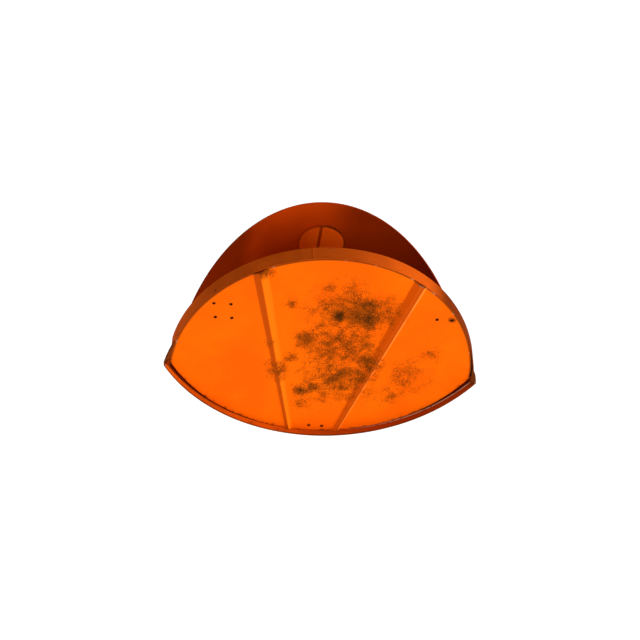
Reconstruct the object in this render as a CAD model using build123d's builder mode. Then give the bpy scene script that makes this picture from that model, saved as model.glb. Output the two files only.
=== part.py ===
# Half-round signal head of sheet steel, turning on a spindle carried by a mast bracket.
# Row frame in mm: +X to the right, +Z up, +Y back to the mast; the origin is the centre of the mast bolts.
# Depths below are measured back from the front of the face plate.
import os
from math import asin, atan2, cos, degrees, hypot, radians, sin, sqrt

from build123d import *

os.makedirs("parts", exist_ok=True)

# sheet-metal head
sheet = 2.0
face_radius = 300.0         # upper edge of the face plate, a half circle on the corner line
face_drop = 166.0           # its lower edge bows this far below the corner line
ridge_ends = [((-43.0, -161.0), (-151.0, 252.0)),    # two pressed V ridges run from edge to edge,
              ((50.0, -163.0), (170.0, 248.0))]     # foot and head of each
ridge_foot_size = (17.0, 4.5)                       # width and height: they widen upward
ridge_head_size = (34.0, 7.5)
rim_depth = 33.0            # strip along the face plate's upper edge
rim_spread = 9.0            # the strip stands off the plate by this at the right corner
rim_free_angle = 36.0       # and is free of it below this angle
lip_half_width = 313.0      # floor sheet
lip_drop = 168.0
lip_forward = 15.0          # it sticks out in front of the face plate
shell_radius = 300.0        # rear wall, round in plan with straight wings out to the corners
shell_wing_angle = 65.0
shell_depth = 240.0
shell_top = 231.0           # top of the rear wall above the corner line
cleat_width = 30.0
cleat_sheet = 3.0

# spindle line
axis_over_corners = 125.0
axis_over_bolts = 70.0
spindle_r = 10.0
running = 0.05              # radial running clearance
gap = 0.4                   # axial clearance between bodies
cap_r = 46.0
cap_front = 233.0
pad_r = 60.0
pad_back = 250.0
crank_thick = 8.0
crank_reach = 90.0
crank_boss_r = 22.0
crank_end_r = 13.0
turn = 45.0                 # how far the head turns
pin_r = 5.0
washer_thick = 2.0

# mast bracket
mast_depth = 312.0
mast_thick = 8.0
mast_width = 150.0
mast_over_axis = 15.0
mast_under_axis = 155.0
bolt_spacing = 110.0
bolt_hole_r = 7.0
barrel_r = 25.0
barrel_back = 290.0
bush_r = 14.0
bush_length = 12.0
collar_r = 16.0
collar_length = 8.6
cheek_x = 22.0
cheek_thick = 6.0
stop_pin_r = 4.0
stop_touch = 0.3            # what is left between crank and stop at each end

# pull rod
rod_r = 6.0
cheek_fork = 6.0
fork_drop = 42.0
fork_block = 14.0
rod_end_drop = 170.0
socket_r = 10.0
socket_top = 150.0
socket_bottom = 190.0
socket_hole_r = 5.0
socket_hole = 20.0

axis_z = axis_over_bolts
corner_z = axis_z - axis_over_corners
lip_radius = (lip_half_width**2 + lip_drop**2) / (2 * lip_drop)
lip_centre_z = corner_z + lip_radius - lip_drop
crank_back = pad_back + crank_thick
barrel_front = crank_back + washer_thick + gap
rest_angle = 180.0 + turn / 2
pin_x = crank_reach * cos(radians(rest_angle))
pin_z = crank_reach * sin(radians(rest_angle))
rivet_ring = 37.0
rivet_start = rest_angle + 45.0


def at_depth(depth, height=0.0, across=0.0):
    # plane facing forward: local x is across, local y is up, extrude goes forward
    return Plane(origin=(across, depth - mast_depth, height), x_dir=(1, 0, 0), z_dir=(0, -1, 0))


def plan_region(inset=0.0):
    # upright block with the rear wall's plan: an arc, and a straight wing to each front corner
    radius = shell_radius - inset
    wing = (radius * sin(radians(shell_wing_angle)),
            shell_depth - shell_radius + radius * cos(radians(shell_wing_angle)))
    corner = (lip_half_width - 1.1 * inset, -lip_forward)
    with BuildPart() as block:
        with BuildSketch(Plane((0, -mast_depth, corner_z - 400))):
            with BuildLine():
                Line((-corner[0], corner[1]), (-wing[0], wing[1]))
                ThreePointArc((-wing[0], wing[1]), (0, shell_depth - inset), wing)
                Polyline(wing, corner, (-corner[0], corner[1]))
            make_face()
        extrude(amount=800)
    return block.part


def under_slope():
    # everything below the sloping top of the rear wall
    slope = shell_top / shell_depth
    with BuildPart() as wedge:
        with BuildSketch(Plane(origin=(-400, -mast_depth, corner_z), x_dir=(0, 1, 0), z_dir=(1, 0, 0))):
            with BuildLine():
                Polyline((-lip_forward, -lip_forward * slope), (shell_depth + 20, (shell_depth + 20) * slope),
                         (shell_depth + 20, -300), (-lip_forward, -300), close=True)
            make_face()
        extrude(amount=800)
    return wedge.part


def floor_drum(radius):
    # long cylinder along Y concentric with the curved floor
    with BuildPart() as drum:
        with BuildSketch(at_depth(500, lip_centre_z)):
            Circle(radius)
        extrude(amount=600)
    return drum.part


def lens():
    with BuildSketch() as outline:
        with BuildLine():
            ThreePointArc((face_radius, 0), (0, face_radius), (-face_radius, 0))
            ThreePointArc((-face_radius, 0), (0, -face_drop), (face_radius, 0))
        make_face()
    return outline.sketch


def ridge_bar(ends, behind):
    # tapering V bar along one ridge, its base this far behind the front of the plate
    foot, head = (Vector(x, -mast_depth, corner_z + z) for x, z in ends)
    along = (head - foot).normalized()
    with BuildPart() as bar:
        for end, (width, height) in ((foot - along * 30, ridge_foot_size), (head + along * 30, ridge_head_size)):
            with BuildSketch(Plane(origin=end, x_dir=(along.Z, 0, -along.X), z_dir=along)):
                with BuildLine():
                    Polyline((-width / 2, behind), (0, behind - height), (width / 2, behind), close=True)
                make_face()
        loft()
    return bar.part


def bar_along_axis(depth_back, depth_front, radius):
    # round bar on the spindle line between two depths, for cutting bores
    with BuildPart() as bar:
        with BuildSketch(at_depth(depth_back, axis_z)):
            Circle(radius)
        extrude(amount=depth_back - depth_front)
    return bar.part


def save(part, name):
    part.label = name
    export_step(part, f"parts/{name}.step")


# face plate: flat sheet, two pressed ridges, a few small holes
face_holes = [(-233, 164), (-199, 164), (-225.5, 127), (-192.6, 127),
              (214.7, 153), (244.5, 153), (-3, -153.5), (23, -153.8)]
with BuildPart() as ridges:
    for ends in ridge_ends:
        add(ridge_bar(ends, 0))
    with BuildSketch(at_depth(sheet, corner_z)):
        add(lens())
    extrude(amount=sheet + ridge_head_size[1] + 2, mode=Mode.INTERSECT)

with BuildPart() as face_plate:
    with BuildSketch(at_depth(sheet, corner_z)):
        add(lens())
    extrude(amount=sheet)
    add(ridges.part)
    for ends in ridge_ends:
        add(ridge_bar(ends, sheet), mode=Mode.SUBTRACT)
    with BuildSketch(at_depth(sheet, corner_z)):
        with Locations(*face_holes):
            Circle(2.5)
    extrude(amount=sheet, mode=Mode.SUBTRACT)
save(face_plate.part, "face_plate")

with BuildPart() as outside_wall:
    add(under_slope())
    add(plan_region(sheet), mode=Mode.SUBTRACT)

# rim strip behind the plate's upper edge, springing away from it at the right corner
rim_mid = face_radius - sheet / 2
with BuildPart() as rim_strip:
    with BuildSketch(at_depth(sheet + rim_depth, corner_z)):
        for side_r in (rim_mid + sheet / 2, rim_mid - sheet / 2):
            start = (side_r * cos(radians(rim_free_angle)), side_r * sin(radians(rim_free_angle)))
            foot = (side_r + rim_spread, 0)
            with BuildLine():
                main = CenterArc((0, 0), side_r, rim_free_angle, 180 - rim_free_angle)
                TangentArc(start, foot, tangent=(start[1], -start[0]))
                Line(foot, (-side_r, 0))
            make_face(mode=Mode.ADD if side_r > rim_mid else Mode.SUBTRACT)
    extrude(amount=rim_depth)
    add(outside_wall.part, mode=Mode.SUBTRACT)     # its ends are trimmed where the rear wall stands
save(rim_strip.part, "rim_strip")

# curved floor, its front edge standing out as a lip
with BuildPart() as floor_pan:
    with BuildSketch(at_depth(shell_depth + 1, lip_centre_z)):
        Circle(lip_radius)
        Circle(lip_radius - sheet, mode=Mode.SUBTRACT)
        with Locations((0, corner_z - lip_centre_z + lip_radius)):
            Rectangle(3 * lip_radius, 2 * lip_radius, mode=Mode.SUBTRACT)
    extrude(amount=shell_depth + 1 + lip_forward)
    add(plan_region(), mode=Mode.INTERSECT)
save(floor_pan.part, "floor_pan")

# rear wall, upright and round in plan, its top cut on a slope from the corners
with BuildPart() as rear_shell:
    add(plan_region())
    add(plan_region(sheet), mode=Mode.SUBTRACT)
    add(floor_drum(lip_radius - sheet), mode=Mode.INTERSECT)
    add(under_slope(), mode=Mode.INTERSECT)
    add(bar_along_axis(shell_depth + 5, shell_depth - 10, spindle_r), mode=Mode.SUBTRACT)
    with BuildSketch(at_depth(shell_depth + 5, axis_z)):
        with PolarLocations(rivet_ring, 4, start_angle=rivet_start):
            Circle(3)
    extrude(amount=20, mode=Mode.SUBTRACT)
save(rear_shell.part, "rear_shell")

# angle cleats that tie the plate's lower part to the floor
with BuildPart() as plate_cleats:
    with BuildSketch(at_depth(sheet + 30, corner_z)):
        for across in (-200.0, 10.0, 200.0):
            low = lip_centre_z - corner_z - sqrt(lip_radius**2 - across**2)
            with Locations((across, low + 20)):
                Rectangle(cleat_width, 56)
    extrude(amount=30)
    add(floor_drum(lip_radius - sheet), mode=Mode.INTERSECT)
    with BuildSketch(at_depth(sheet + 30 + 1, lip_centre_z)):
        Circle(lip_radius - sheet - cleat_sheet)
    extrude(amount=31 - cleat_sheet, mode=Mode.SUBTRACT)
save(plate_cleats.part, "plate_cleats")

# stiffening pad outside the rear wall, hollowed to sit on it
with BuildPart() as hub_pad:
    with BuildSketch(at_depth(pad_back, axis_z)):
        Circle(pad_r)
        with PolarLocations(rivet_ring, 4, start_angle=rivet_start):
            Circle(3, mode=Mode.SUBTRACT)
        Circle(spindle_r, mode=Mode.SUBTRACT)
    extrude(amount=pad_back - 225)
    add(plan_region(), mode=Mode.SUBTRACT)
save(hub_pad.part, "hub_pad")

with BuildPart() as hub_rivets:
    with BuildSketch(at_depth(pad_back, axis_z)):
        with PolarLocations(rivet_ring, 4, start_angle=rivet_start):
            Circle(3)
    extrude(amount=pad_back - 230)
    add(plan_region(sheet), mode=Mode.SUBTRACT)
    with BuildSketch(at_depth(pad_back + 3, axis_z)):
        with PolarLocations(rivet_ring, 4, start_angle=rivet_start):
            Circle(5)
    extrude(amount=3)
    fillet(hub_rivets.edges().group_by(Axis.Y)[-1], 1.8)
save(hub_rivets.part, "hub_rivets")

# spindle, with a keyway under the crank
spindle_back = barrel_back + gap + collar_length + 2
with BuildPart() as spindle:
    with BuildSketch(at_depth(spindle_back, axis_z)):
        Circle(spindle_r)
    extrude(amount=spindle_back - shell_depth + sheet)
    chamfer(spindle.faces().sort_by(Axis.Y)[-1].edges(), 1)
    with BuildSketch(at_depth(crank_back, axis_z + spindle_r)):
        Rectangle(6, 5)
    extrude(amount=crank_thick, mode=Mode.SUBTRACT)
save(spindle.part, "spindle")

with BuildPart() as crank_key:
    with BuildSketch(at_depth(crank_back, axis_z + spindle_r)):
        Rectangle(6, 5)
    extrude(amount=crank_thick)
save(crank_key.part, "crank_key")

# slotted cap on the spindle's front end, inside the head
with BuildPart() as spindle_cap:
    with BuildSketch(at_depth(shell_depth, axis_z)):
        Circle(cap_r)
    extrude(amount=shell_depth - cap_front)
    add(plan_region(sheet), mode=Mode.INTERSECT)
    with BuildSketch(at_depth(cap_front + 2.5, axis_z)):
        with Locations((-6, 0)):
            Rectangle(5, 2 * cap_r)
    extrude(amount=2.5, mode=Mode.SUBTRACT)
    with BuildSketch(at_depth(cap_front + 0.7, axis_z)):
        Circle(cap_r - 7)
        Circle(cap_r - 8.5, mode=Mode.SUBTRACT)
    extrude(amount=0.7, mode=Mode.SUBTRACT)
save(spindle_cap.part, "spindle_cap")

# crank on the spindle behind the head
with BuildPart() as crank_arm:
    with BuildSketch(at_depth(crank_back, axis_z)):
        Circle(crank_boss_r)
        with Locations((pin_x, pin_z)):
            Circle(crank_end_r)
        make_hull()
        Circle(spindle_r, mode=Mode.SUBTRACT)
        with Locations((0, spindle_r)):
            Rectangle(6, 5, mode=Mode.SUBTRACT)
        with Locations((pin_x, pin_z)):
            Circle(pin_r + running, mode=Mode.SUBTRACT)
    extrude(amount=crank_thick)
save(crank_arm.part, "crank_arm")

with BuildPart() as thrust_washer:
    with BuildSketch(at_depth(crank_back + washer_thick, axis_z)):
        Circle(20)
        Circle(spindle_r, mode=Mode.SUBTRACT)
    extrude(amount=washer_thick)
save(thrust_washer.part, "thrust_washer")

with BuildPart() as rear_collar:
    with BuildSketch(at_depth(barrel_back + gap + collar_length, axis_z)):
        Circle(collar_r)
        Circle(spindle_r, mode=Mode.SUBTRACT)
    extrude(amount=collar_length)
    with BuildSketch(Plane.XY.offset(axis_z - collar_r - 1)):
        with Locations((0, barrel_back + gap + collar_length / 2 - mast_depth)):
            Circle(2.5)
    extrude(amount=collar_r, mode=Mode.SUBTRACT)
save(rear_collar.part, "rear_collar")

with BuildPart() as collar_screw:
    with BuildSketch(Plane.XY.offset(axis_z - collar_r - 1.5)):
        with Locations((0, barrel_back + gap + collar_length / 2 - mast_depth)):
            Circle(2.5)
    extrude(amount=collar_r - spindle_r + 1.4)
save(collar_screw.part, "collar_screw")

# mast bracket: plate, two cheeks, a cross web and the bearing barrel
with BuildPart() as mast_plate:
    mid = (mast_over_axis - mast_under_axis) / 2
    with BuildSketch(at_depth(mast_depth, axis_z + mid)):
        RectangleRounded(mast_width, mast_over_axis + mast_under_axis, 12)
    extrude(amount=mast_thick)
    with BuildSketch(at_depth(mast_depth)):
        with GridLocations(bolt_spacing, bolt_spacing, 2, 2):
            Circle(bolt_hole_r)
    extrude(amount=mast_thick, mode=Mode.SUBTRACT)
save(mast_plate.part, "mast_plate")

with BuildPart() as bearing_barrel:
    with BuildSketch(at_depth(barrel_back, axis_z)):
        Circle(barrel_r)
    extrude(amount=barrel_back - barrel_front)
    add(bar_along_axis(barrel_back, barrel_front, spindle_r + 1), mode=Mode.SUBTRACT)
    add(bar_along_axis(barrel_front + bush_length, barrel_front, bush_r), mode=Mode.SUBTRACT)
    add(bar_along_axis(barrel_back, barrel_back - bush_length, bush_r), mode=Mode.SUBTRACT)
    with BuildSketch(Plane.XY.offset(axis_z)):
        with Locations((0, barrel_front + 15 - mast_depth)):
            Circle(1.5)
    extrude(amount=barrel_r, mode=Mode.SUBTRACT)
save(bearing_barrel.part, "bearing_barrel")

for name, back in (("front_bush", barrel_front + bush_length), ("rear_bush", barrel_back)):
    with BuildPart() as bush:
        with BuildSketch(at_depth(back, axis_z)):
            Circle(bush_r)
            Circle(spindle_r + running, mode=Mode.SUBTRACT)
        extrude(amount=bush_length)
    save(bush.part, name)

with BuildPart() as bracket_cheeks:
    for side in (-1, 1):
        edge = side * cheek_x if side > 0 else side * cheek_x - cheek_thick
        with BuildSketch(Plane(origin=(edge, -mast_depth, axis_z), x_dir=(0, 1, 0), z_dir=(1, 0, 0))):
            with BuildLine():
                Polyline((266, 15), (mast_depth - mast_thick, 15), (mast_depth - mast_thick, -95),
                         (292, -95), (266, -30), close=True)
            make_face()
        extrude(amount=cheek_thick)
    add(bar_along_axis(mast_depth, 250, barrel_r), mode=Mode.SUBTRACT)
save(bracket_cheeks.part, "bracket_cheeks")

with BuildPart() as cross_web:
    with BuildSketch(at_depth(mast_depth - mast_thick, axis_z)):
        with Locations((0, -28)):
            Rectangle(2 * cheek_x, 8)
    extrude(amount=mast_depth - mast_thick - 266)
    add(bar_along_axis(mast_depth, 250, barrel_r), mode=Mode.SUBTRACT)
save(cross_web.part, "cross_web")

# stops for the crank: each pin just clear of the arm's side at one end of its travel
taper = asin((crank_boss_r - crank_end_r) / crank_reach)
stop_along = 45.0
stop_aside = (crank_boss_r + stop_pin_r + stop_touch - stop_along * sin(taper)) / cos(taper)
stop_ring = hypot(stop_along, stop_aside)
stop_angle = turn / 2 + degrees(atan2(stop_aside, stop_along))
stop_spots = [(stop_ring * cos(radians(180 + s * stop_angle)), stop_ring * sin(radians(180 + s * stop_angle)))
              for s in (-1, 1)]
with BuildPart() as stop_plate:
    with BuildSketch(at_depth(272, axis_z)):
        with Locations((-(cheek_x + cheek_thick) - 9, 0)):
            Rectangle(18, 2 * stop_ring)
        with Locations(*stop_spots):
            Circle(stop_pin_r, mode=Mode.SUBTRACT)
    extrude(amount=6)
save(stop_plate.part, "stop_plate")

with BuildPart() as stop_pins:
    with BuildSketch(at_depth(272, axis_z)):
        with Locations(*stop_spots):
            Circle(stop_pin_r)
    extrude(amount=272 - pad_back - 1)
save(stop_pins.part, "stop_pins")

with BuildPart() as oil_cup:
    with BuildSketch(Plane.XY.offset(axis_z + barrel_r - 1)):
        with Locations((0, barrel_front + 15 - mast_depth)):
            Circle(6)
            Circle(1.5, mode=Mode.SUBTRACT)
    extrude(amount=9)
    with BuildSketch(at_depth(barrel_back, axis_z)):
        Circle(barrel_r)
    extrude(amount=barrel_back - barrel_front, mode=Mode.SUBTRACT)
save(oil_cup.part, "oil_cup")

with BuildPart() as oil_cup_lid:
    with BuildSketch(Plane.XY.offset(axis_z + barrel_r + 8)):
        with Locations((0, barrel_front + 15 - mast_depth)):
            Circle(7)
    extrude(amount=3)
    fillet(oil_cup_lid.edges().group_by(Axis.Z)[-1], 1.5)
save(oil_cup_lid.part, "oil_cup_lid")

# pull rod: fork over the crank end, pin, rod and threaded socket
fork_x, fork_z = pin_x, axis_z + pin_z
fork_front = pad_back - gap - cheek_fork
fork_back = crank_back + gap + cheek_fork
rod_y = (fork_front + fork_back) / 2 - mast_depth
with BuildPart() as rod_fork:
    with BuildSketch(at_depth(fork_back, fork_z, fork_x)):
        Circle(crank_end_r)
        with Locations((0, -fork_drop / 2)):
            Rectangle(2 * crank_end_r, fork_drop)
        Circle(pin_r, mode=Mode.SUBTRACT)
    extrude(amount=fork_back - fork_front)
    with BuildSketch(at_depth(crank_back + gap, fork_z, fork_x)):
        with Locations((0, -(fork_drop - fork_block) / 2 + 10)):
            Rectangle(3 * crank_end_r, fork_drop - fork_block + 20)
    extrude(amount=crank_thick + 2 * gap, mode=Mode.SUBTRACT)
save(rod_fork.part, "rod_fork")

with BuildPart() as clevis_pin:
    with BuildSketch(at_depth(fork_back + 8, fork_z, fork_x)):
        Circle(pin_r)
    extrude(amount=fork_back - fork_front + 8)
    with BuildSketch(at_depth(fork_front, fork_z, fork_x)):
        Circle(8)
    extrude(amount=3)
    with BuildSketch(Plane.XY.offset(fork_z - 8)):
        with Locations((fork_x, fork_back + 5 - mast_depth)):
            Circle(1.4)
    extrude(amount=16, mode=Mode.SUBTRACT)
save(clevis_pin.part, "clevis_pin")

with BuildPart() as clevis_washer:
    with BuildSketch(at_depth(fork_back + 2, fork_z, fork_x)):
        Circle(10)
        Circle(pin_r, mode=Mode.SUBTRACT)
    extrude(amount=2)
save(clevis_washer.part, "clevis_washer")

with BuildPart() as split_pin:
    with BuildSketch(Plane.XY.offset(fork_z - 9)):
        with Locations((fork_x, fork_back + 5 - mast_depth)):
            Circle(1.4)
    extrude(amount=18)
    with Locations((fork_x, fork_back + 5 - mast_depth, fork_z + 11.2)):
        Torus(2.6, 1.3, rotation=(90, 0, 0))
save(split_pin.part, "split_pin")

with BuildPart() as pull_rod:
    with BuildSketch(Plane.XY.offset(fork_z - rod_end_drop)):
        with Locations((fork_x, rod_y)):
            Circle(rod_r)
    extrude(amount=rod_end_drop - fork_drop)
save(pull_rod.part, "pull_rod")

with BuildPart() as lock_nut:
    with BuildSketch(Plane.XY.offset(fork_z - socket_top)):
        with Locations((fork_x, rod_y)):
            RegularPolygon(11, 6)
            Circle(rod_r, mode=Mode.SUBTRACT)
    extrude(amount=8)
save(lock_nut.part, "lock_nut")

with BuildPart() as rod_socket:
    with BuildSketch(Plane.XY.offset(fork_z - socket_bottom)):
        with Locations((fork_x, rod_y)):
            Circle(socket_r)
            Circle(socket_hole_r, mode=Mode.SUBTRACT)
    extrude(amount=socket_hole)
    with BuildSketch(Plane.XY.offset(fork_z - rod_end_drop)):
        with Locations((fork_x, rod_y)):
            Circle(socket_r)
            Circle(rod_r, mode=Mode.SUBTRACT)
    extrude(amount=rod_end_drop - socket_top)
save(rod_socket.part, "rod_socket")

print("corner_z", corner_z, "pin", fork_x, fork_z, "rod_y", rod_y, "stops", stop_spots)
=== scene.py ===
import bmesh
import bpy
import numpy as np
from mathutils import Matrix, Vector


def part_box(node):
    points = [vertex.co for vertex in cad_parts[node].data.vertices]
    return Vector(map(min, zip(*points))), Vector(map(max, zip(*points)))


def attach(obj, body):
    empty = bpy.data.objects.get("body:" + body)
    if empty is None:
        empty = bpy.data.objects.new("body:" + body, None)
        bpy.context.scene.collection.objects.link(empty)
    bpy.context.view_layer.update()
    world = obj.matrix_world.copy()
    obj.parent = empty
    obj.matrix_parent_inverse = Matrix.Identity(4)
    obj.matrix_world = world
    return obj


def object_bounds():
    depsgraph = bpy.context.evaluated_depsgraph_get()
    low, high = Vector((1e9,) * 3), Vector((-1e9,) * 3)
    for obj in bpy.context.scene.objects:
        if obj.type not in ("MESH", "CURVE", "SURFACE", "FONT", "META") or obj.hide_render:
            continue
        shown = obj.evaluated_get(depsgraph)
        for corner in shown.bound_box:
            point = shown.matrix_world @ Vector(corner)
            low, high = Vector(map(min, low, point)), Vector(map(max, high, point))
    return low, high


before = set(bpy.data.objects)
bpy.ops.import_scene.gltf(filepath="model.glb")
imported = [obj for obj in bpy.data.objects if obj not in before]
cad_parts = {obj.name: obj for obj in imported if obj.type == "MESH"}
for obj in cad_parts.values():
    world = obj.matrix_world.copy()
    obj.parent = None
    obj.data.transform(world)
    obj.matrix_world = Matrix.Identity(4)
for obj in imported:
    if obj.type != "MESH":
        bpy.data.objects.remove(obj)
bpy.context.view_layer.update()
print("frame loaded")

# the head's own measures in metres, read from the frame; the corner line is where the face is widest
faceLow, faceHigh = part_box("face_plate")
floorLow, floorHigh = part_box("floor_pan")
rimLow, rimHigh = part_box("rim_strip")
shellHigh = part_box("rear_shell")[1]
capLow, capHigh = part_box("spindle_cap")
sheetThick = 0.002
faceR = faceHigh.x
faceY = rimLow.y - sheetThick            # front of the flat sheet
cornerZ = faceHigh.z - faceR
lipHalf = floorHigh.x
lipDrop = cornerZ - floorLow.z
lipR = (lipHalf ** 2 + lipDrop ** 2) / (2 * lipDrop)
lipMidZ = floorLow.z + lipR
shellR = 0.300
shellMidY = shellHigh.y - shellR
shellSlope = (shellHigh.z - cornerZ) / (shellHigh.y - faceY)
wingAngle = np.radians(65)               # the wall's straight wings start here, on both sides
wingX = shellR * np.sin(wingAngle)
wingY = shellMidY + shellR * np.cos(wingAngle)


def wallDepth(across, inset=0.0):
    # Y of the rear wall at a distance across: an arc in the middle, a straight wing out to each corner
    wide = np.abs(across)
    arc = shellMidY + np.sqrt(np.maximum((shellR - inset) ** 2 - wide ** 2, 0))
    wing = wingY - (wide + inset - wingX) * (wingY - floorLow.y) / (lipHalf - wingX)
    return np.where(wide < wingX, arc, wing)


def pathOf(x, y, z):
    # three coordinates, each an array or one number, joined into a (points, 3) path
    return np.stack(np.broadcast_arrays(x, y, z), 1)


def surfaceMesh(name, points, closedAcross=False, caps=False):
    # points is a (rows, columns, 3) grid; quads join neighbours, caps close both ends with a centre point
    rows, cols = points.shape[:2]
    idx = np.arange(rows * cols).reshape(rows, cols)
    right = np.roll(idx, -1, axis=1) if closedAcross else idx[:, 1:]
    left = idx if closedAcross else idx[:, :-1]
    quads = np.stack([left[:-1], right[:-1], right[1:], left[1:]], axis=-1).reshape(-1, 4)
    verts = points.reshape(-1, 3)
    faces = quads.tolist()
    if caps:
        ends = np.stack([points[0].mean(axis=0), points[-1].mean(axis=0)])
        first, last = rows * cols, rows * cols + 1
        verts = np.vstack([verts, ends])
        ring0, ring1 = idx[0], idx[-1]
        faces += np.stack([np.full(cols, first), np.roll(ring0, -1), ring0], axis=1).tolist()
        faces += np.stack([np.full(cols, last), ring1, np.roll(ring1, -1)], axis=1).tolist()
    mesh = bpy.data.meshes.new(name)
    mesh.from_pydata(verts.tolist(), [], faces)
    mesh.shade_smooth()
    piece = bpy.data.objects.new(name, mesh)
    bpy.context.scene.collection.objects.link(piece)
    return piece


def beadAlong(name, path, bead, sides=10):
    # a round profile carried along a path: P(s) + r(s) (cos a * n1 + sin a * n2),
    # with r(s) = thick, or thick (1 + ripple sin(2 pi s / pitch)) for the scales of a weld
    step = np.gradient(path, axis=0)
    along = step / np.linalg.norm(step, axis=1, keepdims=True)
    guide = np.where(np.abs(along[:, 1:2]) > 0.9, [[0.0, 0.0, 1.0]], [[0.0, 1.0, 0.0]])
    n1 = np.cross(along, guide)
    n1 /= np.linalg.norm(n1, axis=1, keepdims=True)
    n2 = np.cross(along, n1)
    run = np.concatenate([[0], np.cumsum(np.linalg.norm(np.diff(path, axis=0), axis=1))])
    radius = np.full_like(run, bead["thick"])
    if "ripple" in bead:
        radius *= 1 + bead["ripple"] * np.sin(2 * np.pi * run / bead["pitch"])
    angle = np.linspace(0, 2 * np.pi, sides, endpoint=False)
    ring = np.cos(angle)[None, :, None] * n1[:, None, :] + np.sin(angle)[None, :, None] * n2[:, None, :]
    return surfaceMesh(name, path[:, None, :] + radius[:, None, None] * ring, True, True)


def cornerSheet(name, side, sheet, steps=120):
    # a four-sided section carried round the corner, from the angle since up to upTo, a being the angle; its
    # outer side is r = faceR + out + spread (1 - a / upTo)^bow. With lean, the foot reaches forward and is
    # cut along the lip, whose slope at the corner is lipHalf / (lipR - lipDrop)
    angle = np.linspace(sheet["since"], sheet["upTo"], steps)
    turned = np.radians(angle)
    foot = 1 - angle / sheet["upTo"]
    outer = faceR + sheet["out"] + sheet["spread"] * foot ** sheet["bow"]
    inner = np.full_like(angle, faceR - sheet["inward"])
    if sheet["lean"]:
        onLip = lipHalf / (np.cos(turned) - np.sin(turned) * (lipR - lipDrop) / lipHalf)
        thinnest = 0.0002                # below the lip the section never quite closes
        outer = np.maximum(np.minimum(outer, onLip), inner + thinnest)
    front = faceY + sheet["front"] - sheet["lean"] * np.clip(foot, 0, 1)
    back = faceY + sheet["back"]
    section = ((inner, front), (outer, front), (outer, back), (inner, back))
    grid = np.stack([pathOf(side * r * np.cos(turned), depth, cornerZ + r * np.sin(turned))
                     for r, depth in section], 1)
    piece = surfaceMesh(name, grid, True, True)
    piece.data.shade_flat()
    return piece


def turnOutward(piece):
    # the normals of a closed mesh, recalculated to point outward
    work = bmesh.new()
    work.from_mesh(piece.data)
    bmesh.ops.recalc_face_normals(work, faces=work.faces[:])
    work.to_mesh(piece.data)
    work.free()


def newGroup(name, inputs, outputs):
    group = bpy.data.node_groups.new(name, "ShaderNodeTree")
    for label, kind, value in inputs:
        socket = group.interface.new_socket(name=label, in_out="INPUT", socket_type=kind)
        if value is not None:
            socket.default_value = value
    for label, kind in outputs:
        group.interface.new_socket(name=label, in_out="OUTPUT", socket_type=kind)
    return group, group.nodes.new("NodeGroupInput"), group.nodes.new("NodeGroupOutput")


def mathNode(tree, op, a, b=None):
    node = tree.nodes.new("ShaderNodeMath")
    node.operation = op
    for slot, value in enumerate((a, b)):
        if value is None:
            continue
        if isinstance(value, (int, float)):
            node.inputs[slot].default_value = value
        else:
            tree.links.new(value, node.inputs[slot])
    return node.outputs[0]


def times(tree, first, *others):
    # a product of two or more values, taken from left to right
    for other in others:
        first = mathNode(tree, "MULTIPLY", first, other)
    return first


def vectorNode(tree, op, a, b=None):
    node = tree.nodes.new("ShaderNodeVectorMath")
    node.operation = op
    for slot, value in enumerate((a, b)):
        if isinstance(value, tuple):
            node.inputs[slot].default_value = value
        elif value is not None:
            tree.links.new(value, node.inputs[slot])
    return node.outputs["Value" if op in ("LENGTH", "DISTANCE") else "Vector"]


def ramp(tree, value, low, high, toLow=0.0, toHigh=1.0):
    # a smooth step from toLow at low to toHigh at high
    node = tree.nodes.new("ShaderNodeMapRange")
    node.interpolation_type = "SMOOTHSTEP"
    tree.links.new(value, node.inputs[0])
    for slot, setting in zip((1, 2, 3, 4), (low, high, toLow, toHigh)):
        node.inputs[slot].default_value = setting
    return node.outputs[0]


def noise(tree, coords, scale, detail=6.0, rough=0.6):
    node = tree.nodes.new("ShaderNodeTexNoise")
    tree.links.new(coords, node.inputs["Vector"])
    node.inputs["Scale"].default_value = scale
    node.inputs["Detail"].default_value = detail
    node.inputs["Roughness"].default_value = rough
    return node.outputs[0]


def mixColour(tree, factor, a, b):
    node = tree.nodes.new("ShaderNodeMix")
    node.data_type = "RGBA"
    tree.links.new(factor, node.inputs[0])
    for socket, value in ((node.inputs[6], a), (node.inputs[7], b)):
        if isinstance(value, tuple):
            socket.default_value = (*value, 1.0)
        else:
            tree.links.new(value, socket)
    return node.outputs[2]


# one soft stain: 1 in its middle, 0 at its edge, flattened to the face
stainGroup, stainIn, stainOut = newGroup("stainSpot", [
    ("Place", "NodeSocketVector", None), ("Centre", "NodeSocketVector", None),
    ("Reach", "NodeSocketFloat", 0.05)], [("Mask", "NodeSocketFloat")])
away = vectorNode(stainGroup, "SUBTRACT", stainIn.outputs["Place"], stainIn.outputs["Centre"])
flat = vectorNode(stainGroup, "MULTIPLY", away, (1.0, 0.0, 1.0))
far = vectorNode(stainGroup, "LENGTH", flat)
share = mathNode(stainGroup, "DIVIDE", far, stainIn.outputs["Reach"])
stainGroup.links.new(ramp(stainGroup, share, 0.0, 1.0, 1.0, 0.0), stainOut.inputs["Mask"])

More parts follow.
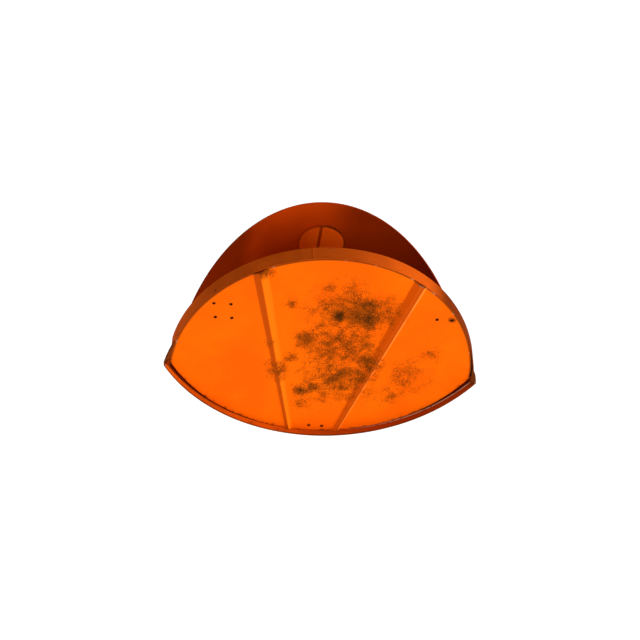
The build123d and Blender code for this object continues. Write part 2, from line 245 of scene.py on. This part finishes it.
# grain of old brushed paint, as noise scales: slow colour drift, small specks and a fine height
grain = dict(drift=7.0, speck=210.0, height=420.0)
grainGroup, grainIn, grainOut = newGroup("paintGrain", [
    ("Place", "NodeSocketVector", None)],
    [("Drift", "NodeSocketFloat"), ("Speck", "NodeSocketFloat"), ("Height", "NodeSocketFloat")])
drift = noise(grainGroup, grainIn.outputs["Place"], grain["drift"], 4.0)
speck = ramp(grainGroup, noise(grainGroup, grainIn.outputs["Place"], grain["speck"], 5.0, 0.7), 0.66, 0.74)
height = noise(grainGroup, grainIn.outputs["Place"], grain["height"], 3.0)
for label, value in (("Drift", drift), ("Speck", speck), ("Height", height)):
    grainGroup.links.new(value, grainOut.inputs[label])


def placeGroup(tree, group, coords, **values):
    node = tree.nodes.new("ShaderNodeGroup")
    node.node_tree = group
    tree.links.new(coords, node.inputs["Place"])
    for label, value in values.items():
        node.inputs[label].default_value = value
    return node


orangeTint = (1.0, 0.30, 0.03)
plainTint = (1.0, 1.0, 1.0)
flatShine = 0.02                         # old flat paint reflects almost nothing


def startMaterial(name, metallic=0.0, tint=orangeTint):
    mat = bpy.data.materials.new(name)
    mat.use_nodes = True
    tree = mat.node_tree
    shader = tree.nodes["Principled BSDF"]
    shader.inputs["Metallic"].default_value = metallic
    if not metallic:
        shader.inputs["Specular IOR Level"].default_value = flatShine
        shader.inputs["Specular Tint"].default_value = (*tint, 1.0)
    coords = tree.nodes.new("ShaderNodeTexCoord").outputs["Object"]
    return mat, tree, shader, coords, placeGroup(tree, grainGroup, coords)


def axesOf(tree, coords):
    split = tree.nodes.new("ShaderNodeSeparateXYZ")
    tree.links.new(coords, split.inputs[0])
    return split.outputs


def slowDrift(tree, grained):
    return ramp(tree, grained.outputs["Drift"], 0.35, 0.65)


def dress(tree, shader, colour, mask, gloss, relief):
    # the last step of every finish: its colour, a roughness that runs between two values along the mask,
    # and a relief given as height, distance and strength
    tree.links.new(colour, shader.inputs["Base Color"])
    tree.links.new(ramp(tree, mask, 0.0, 1.0, *gloss), shader.inputs["Roughness"])
    height, distance, strength = relief
    bump = tree.nodes.new("ShaderNodeBump")
    bump.inputs["Distance"].default_value = distance
    bump.inputs["Strength"].default_value = strength
    tree.links.new(height, bump.inputs["Height"])
    tree.links.new(bump.outputs[0], shader.inputs["Normal"])


# the face: stains as (across, above the corner line, reach, weight), metres; ridges as foot and head of each
# crest, with the painted light and shade of the left flank and of the right flank, and the paler line along
# the right foot;
# flanks as where each of these starts and ends across the ridge; layers as where the mottling starts, is
# full, and how much
facePaint = dict(
    orange=(0.97, 0.140, 0.0008), deep=(0.95, 0.112, 0.0006),
    edge=(0.17, 0.034, 0.003), bare=(0.62, 0.30, 0.13),
    veil=(0.47, 0.066, 0.001), fleck=(0.22, 0.042, 0.002), rust=(0.045, 0.014, 0.002),
    layers=[(0.24, 0.66, 0.78), (0.58, 0.92, 0.86), (0.95, 1.30, 0.92)],
    dotScale=330.0, dotGain=2.3, blotScale=42.0, blotGain=2.5, level=2.42, chipScale=95.0, bareScale=60.0,
    sheetBack=(0.0016, 0.0009), cornerBlend=(0.002, 0.004), gloss=(0.62, 0.88),
    holeReach=0.0060, upperRim=0.0046, lowerRim=0.0060, upperMuch=0.88, lowerMuch=0.8, bareMuch=0.55,
    stains=[(0.019, 0.147, 0.036, 1.40), (0.066, 0.155, 0.094, 1.14), (0.050, 0.190, 0.050, 0.84),
            (0.112, 0.165, 0.072, 0.80), (-0.004, 0.218, 0.048, 0.60), (-0.078, 0.178, 0.030, 0.70),
            (0.030, 0.165, 0.135, 0.76), (-0.033, 0.078, 0.056, 0.92), (-0.060, 0.030, 0.032, 0.68),
            (-0.086, -0.006, 0.046, 0.86), (-0.108, 0.066, 0.024, 0.60), (0.094, 0.027, 0.058, 1.04),
            (0.081, -0.012, 0.066, 0.82), (0.053, -0.042, 0.036, 1.0), (-0.032, -0.059, 0.036, 1.02),
            (-0.010, -0.050, 0.034, 0.88), (-0.020, -0.082, 0.050, 0.56), (0.034, 0.065, 0.145, 0.80),
            (0.040, -0.018, 0.128, 0.84), (0.176, -0.002, 0.085, 0.60), (0.145, -0.055, 0.060, 0.56),
            (0.213, 0.057, 0.045, 0.54), (0.2445, 0.153, 0.014, 1.0), (-0.142, 0.2600, 0.034, 0.85)],
    holes=[(-0.233, 0.164), (-0.199, 0.164), (-0.2255, 0.127), (-0.1926, 0.127),
           (0.2147, 0.153), (0.2445, 0.153), (-0.003, -0.1535), (0.023, -0.1538)],
    ridges=[((-0.043, -0.161), (-0.151, 0.252),
             [(0.52, 0.064, 0.001), (0.98, 0.175, 0.003), (0.98, 0.165, 0.003)]),
            ((0.050, -0.163), (0.170, 0.248),
             [(0.60, 0.068, 0.001), (0.42, 0.052, 0.001), (0.98, 0.225, 0.030)])],
    flanks=[((-0.95, -0.75), (0.12, -0.12)), ((-0.12, 0.12), (0.70, 0.58)), ((0.62, 0.74), (0.96, 0.82))],
    ridgeMuch=0.9, ridgeHalf=(0.0065, 0.0185), ridgeRun=0.1)


def stainsTogether(tree, coords, spots):
    # the strongest of several stains at each place; a spot is (across, above, reach, weight), and a weight
    # of None leaves it as it is
    most = None
    for across, above, reach, much in spots:
        spot = placeGroup(tree, stainGroup, coords, Centre=(across, faceY, cornerZ + above), Reach=reach)
        scaled = spot.outputs[0] if much is None else times(tree, spot.outputs[0], much)
        most = scaled if most is None else mathNode(tree, "MAXIMUM", most, scaled)
    return most


def shadeRidges(tree, place, front, colour):
    # painted light and shade on the flanks of each ridge, and a paler line along its right foot; d = X -
    # crest(Z), and the half width grows upward, so d / half runs from -1 at the left foot of a ridge to 1 at
    # the right
    for foot, head, ridgeLightShade in facePaint["ridges"]:
        lean = (head[0] - foot[0]) / (head[1] - foot[1])
        crest = mathNode(tree, "ADD", times(tree, place[2], lean), foot[0] - lean * (foot[1] + cornerZ))
        half = ramp(tree, place[2], cornerZ + foot[1] - facePaint["ridgeRun"],
                    cornerZ + head[1] + facePaint["ridgeRun"], *facePaint["ridgeHalf"])
        across = mathNode(tree, "DIVIDE", mathNode(tree, "SUBTRACT", place[0], crest), half)
        for (rise, fall), shade in zip(facePaint["flanks"], ridgeLightShade):
            mask = times(tree, ramp(tree, across, *rise), ramp(tree, across, *fall), front,
                         facePaint["ridgeMuch"])
            colour = mixColour(tree, mask, colour, shade)
    return colour


def rimMask(tree, coords, centreZ, radius, wide):
    # 1 near the edge of the plate, by the distance from the centre of that edge's arc
    fromMid = vectorNode(tree, "DISTANCE", coords, (0.0, faceY, centreZ))
    return ramp(tree, fromMid, radius - wide, radius - 0.0004)


def makeFacePaint():
    mat, tree, shader, coords, grained = startMaterial("face orange")
    place = axesOf(tree, coords)
    colour = mixColour(tree, slowDrift(tree, grained), facePaint["orange"], facePaint["deep"])
    # the back of the sheet stays plain
    behind, ahead = facePaint["sheetBack"]
    front = ramp(tree, place[1], faceY + behind, faceY + ahead)
    colour = shadeRidges(tree, place, front, colour)
    # one mottled field: stain weight broken up by a coarse and a fine noise, read at three heights
    weight = times(tree, stainsTogether(tree, coords, facePaint["stains"]), front)
    dots = noise(tree, coords, facePaint["dotScale"], 4.0, 0.7)
    blots = noise(tree, coords, facePaint["blotScale"], 9.0, 0.72)
    ragged = mathNode(tree, "ADD", times(tree, dots, facePaint["dotGain"]),
                      times(tree, blots, facePaint["blotGain"]))
    field = mathNode(tree, "ADD", weight, mathNode(tree, "SUBTRACT", ragged, facePaint["level"]))
    field = times(tree, field, ramp(tree, weight, 0.01, 0.20))
    veil, fleck, dark = [times(tree, ramp(tree, field, start, full), much)
                         for start, full, much in facePaint["layers"]]
    # painted shade round each small hole, which makes it look darker and wider, joined to the rust layer
    holeShade = [(across, above, facePaint["holeReach"], None) for across, above in facePaint["holes"]]
    dark = mathNode(tree, "MAXIMUM", dark, ramp(tree, stainsTogether(tree, coords, holeShade), 0.22, 0.50))
    # the upper and the lower edge of the plate, which meet at the corner line
    under, over = facePaint["cornerBlend"]
    lowR = (faceR ** 2 + (cornerZ - faceLow.z) ** 2) / (2 * (cornerZ - faceLow.z))
    upper = times(tree, rimMask(tree, coords, cornerZ, faceR, facePaint["upperRim"]),
                  ramp(tree, place[2], cornerZ - under, cornerZ + over))
    lower = times(tree, rimMask(tree, coords, faceLow.z + lowR, lowR, facePaint["lowerRim"]),
                  ramp(tree, place[2], cornerZ + over, cornerZ - under))
    chips = ramp(tree, noise(tree, coords, facePaint["chipScale"], 6.0, 0.7), 0.48, 0.60)
    bareBits = ramp(tree, noise(tree, coords, facePaint["bareScale"], 5.0, 0.7), 0.56, 0.64)
    for mask, shade in ((times(tree, upper, facePaint["upperMuch"]), "edge"),
                        (times(tree, lower, chips, facePaint["lowerMuch"]), "edge"),
                        (times(tree, upper, bareBits, facePaint["bareMuch"]), "bare"),
                        (veil, "veil"), (fleck, "fleck"), (dark, "rust")):
        colour = mixColour(tree, mask, colour, facePaint[shade])
    relief = mathNode(tree, "ADD", times(tree, fleck, -0.6), grained.outputs["Height"])
    dress(tree, shader, colour, fleck, facePaint["gloss"], (relief, 0.0004, 0.4))
    return mat


# the lip: painted shade in the recess next to the plate, a bare line along the fold, a band out to the front
# edge that turns browner toward the right corner in painted shade
lipPaint = dict(recessShade=(0.22, 0.018, 0.001), line=(0.98, 0.52, 0.32), band=(0.80, 0.128, 0.003),
                dull=(0.36, 0.052, 0.003), rust=(0.05, 0.016, 0.004),
                inside=((0.60, 0.056, 0.0015), (0.48, 0.042, 0.001)), insideFrom=(-0.020, -0.045),
                fold=0.0008, lineMuch=0.85, wornScale=70.0, rustScale=60.0, rustMuch=0.8, gloss=(0.65, 0.88))


def makeLipPaint():
    mat, tree, shader, coords, grained = startMaterial("lip orange")
    place = axesOf(tree, coords)
    forward = mathNode(tree, "SUBTRACT", faceY, place[1])
    fold = lipPaint["fold"]
    drifted = slowDrift(tree, grained)
    # painted shade: the band turns browner toward the right corner
    shadeToRight = ramp(tree, place[0], -0.05, 0.22)
    bandTone = mixColour(tree, times(tree, shadeToRight, 0.92), lipPaint["band"], lipPaint["dull"])
    bandTone = mixColour(tree, times(tree, drifted, 0.55), bandTone, lipPaint["dull"])
    # painted shade in the recess between the plate and the fold, the band beyond it
    band = ramp(tree, forward, fold - 0.0004, fold + 0.0004)
    colour = mixColour(tree, band, lipPaint["recessShade"], bandTone)
    # further back the pan has the darker colour of the inside, painted shade like the inner paint
    behind = ramp(tree, forward, *lipPaint["insideFrom"])
    colour = mixColour(tree, behind, colour, mixColour(tree, drifted, *lipPaint["inside"]))
    # the bare line is bright toward the right corner and fades out in the middle
    line = times(tree, ramp(tree, forward, fold - 0.0024, fold - 0.0010),
                 ramp(tree, forward, fold + 0.0024, fold + 0.0010))
    wornBits = ramp(tree, noise(tree, coords, lipPaint["wornScale"], 6.0, 0.7), 0.36, 0.50, 0.35, 1.0)
    line = times(tree, line, ramp(tree, place[0], 0.05, 0.20), wornBits)
    # both tips are bare where they come up to the corner line
    tip = times(tree, ramp(tree, place[2], cornerZ - 0.0022, cornerZ - 0.0010),
                ramp(tree, forward, -0.002, 0.001))
    bare = times(tree, mathNode(tree, "MAXIMUM", line, tip), lipPaint["lineMuch"])
    colour = mixColour(tree, bare, colour, lipPaint["line"])
    rusty = ramp(tree, noise(tree, coords, lipPaint["rustScale"], 8.0, 0.72), 0.60, 0.66)
    colour = mixColour(tree, times(tree, rusty, lipPaint["rustMuch"]), colour, lipPaint["rust"])
    dress(tree, shader, colour, rusty, lipPaint["gloss"], (grained.outputs["Height"], 0.0003, 0.3))
    return mat


# the cap: painted shade in its slot and a painted shadow round its edge, heavier on the right, measured from
# the spindle line
capPaint = dict(light=(1.0, 0.138, 0.002), dark=(0.94, 0.120, 0.002), capShade=(0.03, 0.006, 0.002),
                capShadeMuch=0.85, edge=(0.0425, 0.0455), slotX=-0.006, slotHalf=(0.0036, 0.0022),
                gloss=(0.4, 0.8))


def makeCapPaint():
    mat, tree, shader, coords, grained = startMaterial("cap orange")
    place = axesOf(tree, coords)
    up = mathNode(tree, "SUBTRACT", place[2], (capLow.z + capHigh.z) / 2)
    out = mathNode(tree, "SQRT", mathNode(tree, "ADD", times(tree, up, up), times(tree, place[0], place[0])))
    # painted shadow round the cap's edge, heavier toward the right
    edgeShadow = times(tree, ramp(tree, out, *capPaint["edge"]),
                     ramp(tree, place[0], -0.030, 0.022, 0.30, 1.0))
    # painted shade in the slot, darkest along its left side
    fromSlot = mathNode(tree, "SUBTRACT", place[0], capPaint["slotX"])
    inSlot = times(tree, ramp(tree, mathNode(tree, "ABSOLUTE", fromSlot), *capPaint["slotHalf"]),
                   ramp(tree, fromSlot, -0.0024, -0.0002, 0.95, 0.28))
    capShade = mathNode(tree, "MAXIMUM", edgeShadow, inSlot)
    colour = mixColour(tree, slowDrift(tree, grained), capPaint["light"], capPaint["dark"])
    colour = mixColour(tree, times(tree, capShade, capPaint["capShadeMuch"]), colour, capPaint["capShade"])
    dress(tree, shader, colour, capShade, capPaint["gloss"], (grained.outputs["Height"], 0.0003, 0.3))
    return mat


# plain finishes: light and dark are the two shades of the drift, rust shows where a coarse noise passes
# rustFrom, and the last entry, where given, is painted shade that deepens the colour toward both wings, each
# as near, far and how much
paints = {
    "rim": ("rim orange", dict(
        light=(0.86, 0.122, 0.006), dark=(0.66, 0.090, 0.005), rust=(0.05, 0.018, 0.008), rustFrom=0.63,
        gloss=0.85, wingShade=((-0.120, -0.270, 0.28), (0.185, 0.235, 0.88)))),
    # the inner paint is a darker copy of the face orange: painted shade for the inside of the hood
    "inner": ("inner shaded orange", dict(
        light=(0.67, 0.063, 0.0015), dark=(0.56, 0.050, 0.001), rust=(0.05, 0.012, 0.003), rustFrom=0.70,
        gloss=0.75, wingShade=((-0.132, -0.172, 0.56), (-0.02, 0.075, 0.54)))),
    "lipEdge": ("lip edge", dict(
        light=(0.24, 0.044, 0.004), dark=(0.12, 0.024, 0.004), rust=(0.50, 0.24, 0.13), rustFrom=0.64,
        gloss=0.88)),
    "gapBlack": ("painted gap shade", dict(
        light=(0.045, 0.010, 0.004), dark=(0.025, 0.007, 0.003), rust=(0.09, 0.03, 0.01), rustFrom=0.60,
        gloss=0.85)),
    "black": ("bracket black", dict(
        light=(0.030, 0.030, 0.032), dark=(0.018, 0.018, 0.020), rust=(0.12, 0.045, 0.018), rustFrom=0.60,
        gloss=0.45, tint=plainTint)),
    "cast": ("cast grey", dict(
        light=(0.075, 0.072, 0.070), dark=(0.045, 0.043, 0.042), rust=(0.14, 0.055, 0.022), rustFrom=0.60,
        gloss=0.7, tint=plainTint)),
}
metals = {
    "steel": ("dull steel", dict(light=(0.42, 0.41, 0.40), dark=(0.16, 0.13, 0.11), gloss=0.32, fine=60.0)),
    "bronze": ("old bronze", dict(light=(0.50, 0.33, 0.13), dark=(0.22, 0.13, 0.06), gloss=0.35, fine=55.0)),
}


def makePaint(name, light, dark, rust, rustFrom, gloss, tint=orangeTint, wingShade=None):
    mat, tree, shader, coords, grained = startMaterial(name, tint=tint)
    rustScale, rustEdge = 34.0, 0.06
    rusty = ramp(tree, noise(tree, coords, rustScale, 9.0, 0.7), rustFrom, rustFrom + rustEdge)
    colour = mixColour(tree, slowDrift(tree, grained), light, dark)
    # painted shade: the colour darkens toward both wings
    if wingShade:
        across = axesOf(tree, coords)[0]
        left, right = [ramp(tree, across, near, far, 0.0, much) for near, far, much in wingShade]
        deep = tuple(0.2 * shade for shade in dark)
        colour = mixColour(tree, mathNode(tree, "MAXIMUM", left, right), colour, deep)
    colour = mixColour(tree, times(tree, grained.outputs["Speck"], 0.5), colour, rust)
    colour = mixColour(tree, rusty, colour, rust)
    relief = mathNode(tree, "SUBTRACT", grained.outputs["Height"], rusty)
    dress(tree, shader, colour, rusty, (gloss, 0.85), (relief, 0.0004, 0.35))
    return mat


def makeMetal(name, light, dark, gloss, fine):
    # bare metal, duller and darker where it has tarnished
    mat, tree, shader, coords, grained = startMaterial(name, metallic=1.0)
    tarnish = ramp(tree, noise(tree, coords, fine, 8.0, 0.65), 0.42, 0.62)
    colour = mixColour(tree, tarnish, light, dark)
    dress(tree, shader, colour, tarnish, (gloss, gloss + 0.3), (grained.outputs["Height"], 0.0002, 0.3))
    return mat


finishes = {"face": makeFacePaint(), "lip": makeLipPaint(), "cap": makeCapPaint()}
for finish, (name, setting) in paints.items():
    finishes[finish] = makePaint(name, **setting)
for finish, (name, setting) in metals.items():
    finishes[finish] = makeMetal(name, **setting)
worn = {
    "face": ["face_plate"], "rim": ["rim_strip"], "lip": ["floor_pan"],
    "inner": ["rear_shell", "plate_cleats"], "cap": ["spindle_cap"],
    "black": ["hub_pad", "mast_plate", "bracket_cheeks", "cross_web", "stop_plate", "crank_arm", "rod_fork"],
    "cast": ["bearing_barrel"],
    "steel": ["spindle", "crank_key", "rear_collar", "collar_screw", "stop_pins", "hub_rivets", "clevis_pin",
              "clevis_washer", "split_pin", "lock_nut", "rod_socket", "pull_rod"],
    "bronze": ["front_bush", "rear_bush", "thrust_washer", "oil_cup", "oil_cup_lid"],
}
for finish, nodes in worn.items():
    for node in nodes:
        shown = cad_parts[node]
        shown.data.materials.clear()
        shown.data.materials.append(finishes[finish])
print("paint and metal done")

# weld along the face's upper edge: a half circle on the corner line
rimBead = dict(thick=0.0009, ripple=0.15, pitch=0.005)
turn = np.linspace(np.radians(1), np.radians(179), 900)
path = pathOf(faceR * np.cos(turn), faceY + sheetThick, cornerZ + faceR * np.sin(turn))
rimWeld = beadAlong("rim_weld", path, rimBead)

# butt seam across the strip, a straight run back
seamBead = dict(thick=0.0008, ripple=0.12, pitch=0.003, angle=99.6, inset=0.001)
back = np.linspace(seamBead["inset"], rimHigh.y - rimLow.y - seamBead["inset"], 40)
seamAngle = np.radians(seamBead["angle"])
path = pathOf(faceR * np.cos(seamAngle), rimLow.y + back, cornerZ + faceR * np.sin(seamAngle))
seamWeld = beadAlong("seam_weld", path, seamBead)

# rolled front edge of the lip: an arc through both corners
lipBead = dict(thick=0.0013, inset=0.001)
half = np.arcsin(lipHalf / lipR)
turn = np.linspace(-half, half, 500)
rollR = lipR - lipBead["inset"]
path = pathOf(rollR * np.sin(turn), floorLow.y + lipBead["inset"], lipMidZ - rollR * np.cos(turn))
lipRoll = beadAlong("lip_roll", path, lipBead)

# rolled top of the rear wall: across = sin of an even turn, so the points crowd out at the wings
topBead = dict(thick=0.0017, half=0.2995)
turn = np.linspace(-np.pi / 2, np.pi / 2, 700)
across = topBead["half"] * np.sin(turn)
depth = wallDepth(across, sheetThick / 2)
path = pathOf(across, depth, cornerZ + shellSlope * (depth - faceY))
shellRoll = beadAlong("shell_roll", path, topBead)

# weld round the foot of the rear wall, where it stands on the curved floor
floorBead = dict(thick=0.0022, ripple=0.14, pitch=0.006, half=0.305)
across = floorBead["half"] * np.sin(turn)
path = pathOf(across, wallDepth(across), lipMidZ - np.sqrt((lipR - sheetThick) ** 2 - across ** 2))
floorWeld = beadAlong("floor_weld", path, floorBead)

# a dark sheet of painted shade in the gap where the strip stands off the plate on the right, and the folded
# end of the lip at each corner:
# since and upTo in degrees above the corner line, the rest in metres from the plate's edge and its front
gapShadeSheet = dict(since=-2.0, upTo=36.0, spread=0.009, bow=2, out=-0.0017, inward=0.003,
                  front=0.0025, back=0.0075, lean=0.0)
rightEnd = dict(since=-2.8, upTo=3.8, spread=0.0084, bow=1, out=0.0046, inward=-0.003,
                front=0.0010, back=0.0100, lean=0.0115)
leftEnd = dict(since=-2.7, upTo=9.0, spread=0.0084, bow=1, out=0.0006, inward=0.001,
               front=0.0024, back=0.0120, lean=0.0)
gapShadePiece = cornerSheet("painted_gap_shade", 1, gapShadeSheet)
rightFold = cornerSheet("right_fold", 1, rightEnd)
leftFold = cornerSheet("left_fold", -1, leftEnd)

for piece, finish in ((gapShadePiece, "gapBlack"), (rightFold, "lipEdge"), (leftFold, "lipEdge"), (rimWeld, "rim"),
                      (seamWeld, "rim"), (lipRoll, "lipEdge"), (shellRoll, "inner"), (floorWeld, "inner")):
    turnOutward(piece)
    piece.data.materials.append(finishes[finish])
    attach(piece, "signal_head")
print("welds and edges done")

# the studio: a wide pale ground far below, a white backdrop to look at and a dimmer sky to light with
studio = dict(groundDrop=2.2, groundWide=60.0, groundTone=(0.95, 0.95, 0.95, 1), groundGlow=0.72,
              skyLight=0.30, skySeen=1.0)
wide = studio["groundWide"]
groundX, groundY = np.meshgrid((-wide, wide), (-wide, wide))
groundZ = np.full_like(groundX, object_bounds()[0].z - studio["groundDrop"])
ground = surfaceMesh("ground", np.stack([groundX, groundY, groundZ], -1))
pale = bpy.data.materials.new("pale ground")
pale.use_nodes = True
paleInputs = pale.node_tree.nodes["Principled BSDF"].inputs
paleInputs["Base Color"].default_value = studio["groundTone"]
paleInputs["Roughness"].default_value = 0.9
paleInputs["Emission Color"].default_value = (1, 1, 1, 1)
paleInputs["Emission Strength"].default_value = studio["groundGlow"]
ground.data.materials.append(pale)

world = bpy.data.worlds.new("studio")
bpy.context.scene.world = world
world.use_nodes = True
sky = world.node_tree.nodes["Background"]
sky.inputs[0].default_value = (1, 1, 1, 1)
seen = world.node_tree.nodes.new("ShaderNodeLightPath")
skyPower = world.node_tree.nodes.new("ShaderNodeMapRange")
world.node_tree.links.new(seen.outputs["Is Camera Ray"], skyPower.inputs[0])
skyPower.inputs[3].default_value = studio["skyLight"]
skyPower.inputs[4].default_value = studio["skySeen"]
world.node_tree.links.new(skyPower.outputs[0], sky.inputs[1])

lamps = {
    "key": dict(place=(2.1, -2.3, 1.05), size=1.1, watts=44),
    "fill": dict(place=(-1.2, -2.8, 0.2), size=1.6, watts=17),
    "side": dict(place=(2.9, -0.3, 1.10), size=0.9, watts=42),
}
lampAim = Vector((0.0, faceY, cornerZ + 0.05))
for name, setting in lamps.items():
    data = bpy.data.lights.new(name, "AREA")
    data.size = setting["size"]
    data.energy = setting["watts"]
    lamp = bpy.data.objects.new(name, data)
    lamp.location = setting["place"]
    lamp.rotation_euler = (lampAim - Vector(setting["place"])).to_track_quat("-Z", "Y").to_euler()
    bpy.context.scene.collection.objects.link(lamp)

# the camera stands high in front, a little to the left, turned about its own line of sight
cameraSet = dict(side=10.0, height=42.7, roll=10.0, away=30.0, lens=849.3, sensor=36.0, lift=0.0984,
                 reach=200.0)
side, height, roll = (np.radians(cameraSet[angle]) for angle in ("side", "height", "roll"))
toCamera = Vector((-np.sin(side) * np.cos(height), -np.cos(side) * np.cos(height), np.sin(height)))
level = Vector((np.cos(side), -np.sin(side), 0.0))
upright = toCamera.cross(level)
right = level * np.cos(roll) + upright * np.sin(roll)
up = upright * np.cos(roll) - level * np.sin(roll)
aim = Vector((0.0, faceY, cornerZ)) + up * cameraSet["lift"]
lens = bpy.data.cameras.new("camera")
lens.lens = cameraSet["lens"]
lens.sensor_width = cameraSet["sensor"]
lens.clip_end = cameraSet["reach"]
camera = bpy.data.objects.new("camera", lens)
turned = Matrix((right, up, toCamera)).transposed().to_4x4()
camera.matrix_world = Matrix.Translation(aim + toCamera * cameraSet["away"]) @ turned
bpy.context.scene.collection.objects.link(camera)
bpy.context.scene.camera = camera
bpy.context.scene.view_settings.view_transform = "Standard"
print("light and camera done")
